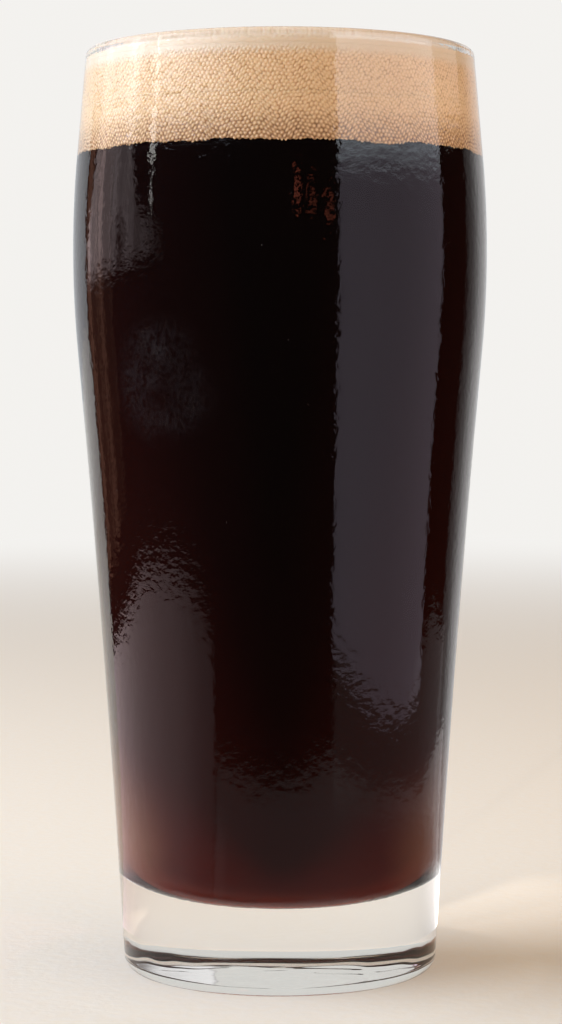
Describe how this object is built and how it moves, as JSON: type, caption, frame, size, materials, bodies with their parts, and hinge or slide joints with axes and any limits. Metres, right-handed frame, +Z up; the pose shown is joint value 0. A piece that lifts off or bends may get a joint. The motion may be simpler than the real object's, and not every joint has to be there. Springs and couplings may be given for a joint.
{
  "type": "pint of dark lager",
  "caption": "Tall tapered beer glass with a soft shoulder and a thick clear base, filled with near-black lager under a tan head of fine foam.",
  "frame": {"origin": "middle of the ring that the glass stands on", "axes": "+Z up, along the axis that the glass, the lager and the head are turned about"},
  "size_m": [0.0764, 0.0764, 0.1711],
  "materials": {
    "clear_glass": "clear, polished",
    "dark_lager": "near-black, red-brown towards the floor of the glass",
    "tan_foam": "fine, creamy bubbles"
  },
  "bodies": {
    "root": {"glass": "clear_glass", "lager": "dark_lager", "head": "tan_foam"}
  },
  "joints": []
}
